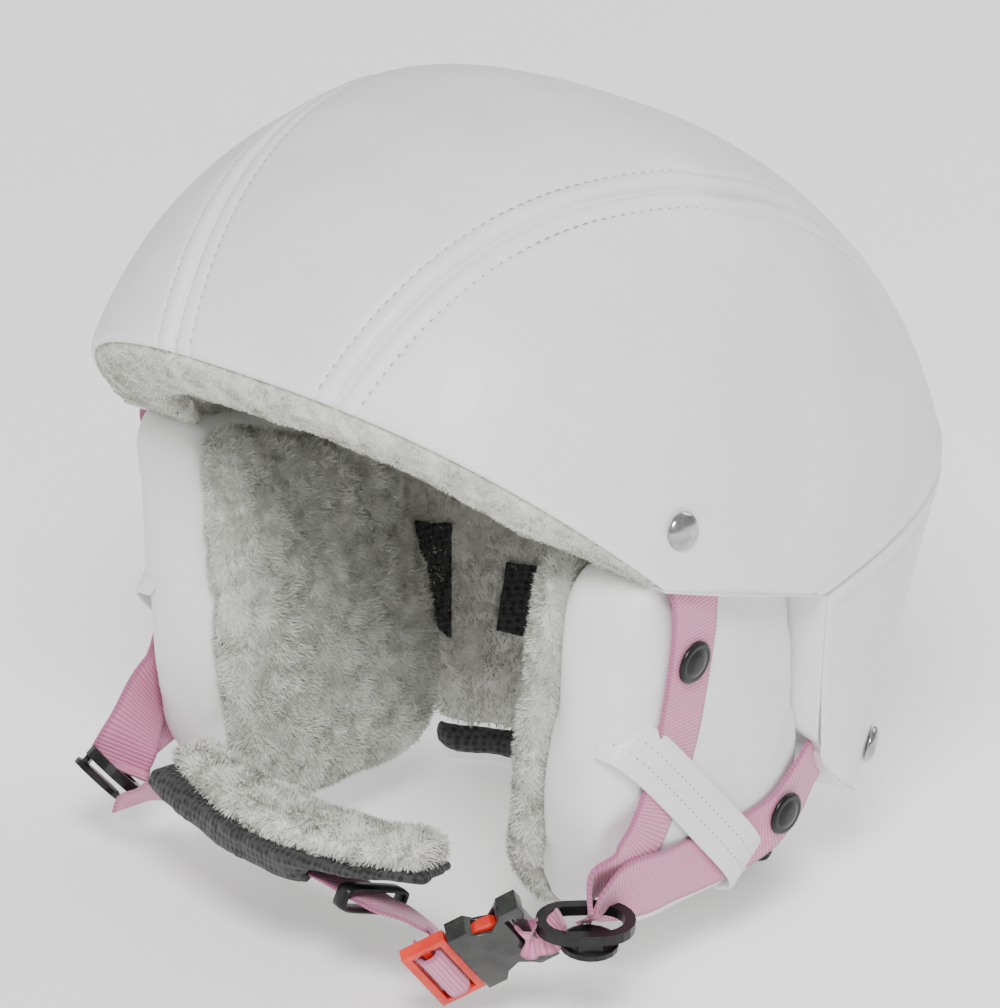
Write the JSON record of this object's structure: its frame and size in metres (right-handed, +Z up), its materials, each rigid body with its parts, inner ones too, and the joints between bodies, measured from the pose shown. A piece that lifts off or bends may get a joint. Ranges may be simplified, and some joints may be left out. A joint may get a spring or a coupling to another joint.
{
  "type": "ski helmet",
  "caption": "Soft-ear ski helmet with a stitched white leather cover, fleece lining, swinging ear pads and a webbing chin strap with a chin pad and a side release buckle.",
  "frame": {"origin": "On the flat underside of the crown pad, where the top of the wearer's head rests, on the helmet's mirror plane.", "axes": "The wearer faces -Y, +X is the wearer's left, +Z is up through the crown."},
  "size_m": [0.2126, 0.2466, 0.2419],
  "materials": {
    "leather": "smooth white leather, fine grain",
    "fleece": "short curly pile",
    "shell_plastic": "moulded, matt",
    "foam": "moulded bead foam",
    "webbing": "ribbed polyester webbing",
    "black_plastic": "glossy moulding",
    "black_fabric": "knitted mesh",
    "red_plastic": "glossy moulding",
    "grey_plastic": "glossy moulding",
    "chrome": "polished"
  },
  "bodies": {
    "helmet": {"hard_shell": "shell_plastic", "foam_liner": "foam", "cover_centre_panel": "leather", "cover_side_panel_left": "leather", "cover_side_panel_right": "leather", "cover_neck_panel": "leather", "brim_roll": "fleece", "brow_pad": "fleece", "side_liner_left": "fleece", "side_liner_right": "fleece", "neck_pad": "fleece", "neck_roll": "black_fabric", "crown_pad": "fleece", "inner_patch": "black_fabric", "elastic_tab_left": "black_fabric", "elastic_tab_right": "black_fabric", "rivet_front_left": "chrome", "rivet_front_right": "chrome", "rivet_rear_left": "chrome", "rivet_rear_right": "chrome", "strap_tail_front_left": "webbing", "strap_tail_front_right": "webbing", "strap_tail_rear_left": "webbing", "strap_tail_rear_right": "webbing"},
    "ear_pad_left": {"ear_pad_cover_left": "leather", "ear_pad_foam_left": "foam", "ear_pad_fleece_left": "fleece", "keeper_band_left": "leather", "strap_front_left": "webbing", "strap_rear_left": "webbing", "snap_cap_front_left": "black_plastic", "snap_cap_rear_left": "black_plastic", "snap_stud_front_left": "black_plastic", "snap_stud_rear_left": "black_plastic", "strap_divider_left": "black_plastic"},
    "ear_pad_right": {"ear_pad_cover_right": "leather", "ear_pad_foam_right": "foam", "ear_pad_fleece_right": "fleece", "keeper_band_right": "leather", "strap_front_right": "webbing", "strap_rear_right": "webbing", "snap_cap_front_right": "black_plastic", "snap_cap_rear_right": "black_plastic", "snap_stud_front_right": "black_plastic", "snap_stud_rear_right": "black_plastic", "strap_divider_right": "black_plastic"},
    "chin_strap_left": {"strap_chin_left": "webbing", "buckle_female": "grey_plastic"},
    "chin_strap_right": {"strap_chin_right": "webbing", "chin_pad_fleece": "fleece", "chin_pad_backing": "black_fabric", "chin_pad_tunnel": "black_fabric"},
    "keeper_ring_slider": {"keeper_ring": "black_fabric"},
    "buckle_male_slider": {"buckle_male": "red_plastic"},
    "prong_front": {"buckle_prong_front": "red_plastic"},
    "prong_rear": {"buckle_prong_rear": "red_plastic"}
  },
  "joints": [
    {"name": "ear_pad_left_hinge", "type": "hinge", "parent": "helmet", "child": "ear_pad_left", "pos_m": [0.094, -0.015, -0.0935], "axis": [0, -0.9553, 0.2955], "range_deg": [0, 22], "deforming": ["strap_tail_rear_left"]},
    {"name": "ear_pad_right_hinge", "type": "hinge", "parent": "helmet", "child": "ear_pad_right", "pos_m": [-0.094, -0.015, -0.0935], "axis": [0, 0.9553, -0.2955], "range_deg": [0, 22], "deforming": ["strap_tail_rear_right"]},
    {"name": "chin_strap_left_hinge", "type": "hinge", "parent": "ear_pad_left", "child": "chin_strap_left", "pos_m": [0.0888, -0.0611, -0.181], "axis": [-0.103, -0.6452, 0.757], "range_deg": [0, 60]},
    {"name": "chin_strap_right_hinge", "type": "hinge", "parent": "ear_pad_right", "child": "chin_strap_right", "pos_m": [-0.088, -0.063, -0.188], "axis": [0, 1, 0], "range_deg": [0, 60], "deforming": ["strap_chin_right"]},
    {"name": "keeper_slide", "type": "slide", "parent": "chin_strap_right", "child": "keeper_ring_slider", "axis": [0.9838, -0.1269, -0.1269], "range_m": [-0.004, 0.006]},
    {"name": "buckle_slide", "type": "slide", "parent": "chin_strap_right", "child": "buckle_male_slider", "axis": [-0.6912, -0.5009, -0.5209], "range_m": [0, 0.024]},
    {"name": "prong_front_squeeze", "type": "hinge", "parent": "buckle_male_slider", "child": "prong_front", "pos_m": [0.06306, -0.07726, -0.19893], "axis": [0.7153, -0.5769, -0.3944], "range_deg": [0, 7], "stiffness_Nm_per_rad": 0.2, "deforming": ["buckle_prong_front"]},
    {"name": "prong_rear_squeeze", "type": "hinge", "parent": "buckle_male_slider", "child": "prong_rear", "pos_m": [0.06142, -0.08758, -0.18682], "axis": [-0.7153, 0.5769, 0.3944], "range_deg": [0, 7], "stiffness_Nm_per_rad": 0.2, "deforming": ["buckle_prong_rear"]}
  ],
  "couplings": [
    {"joint": "prong_rear_squeeze", "follows": "prong_front_squeeze", "ratio": 1}
  ]
}
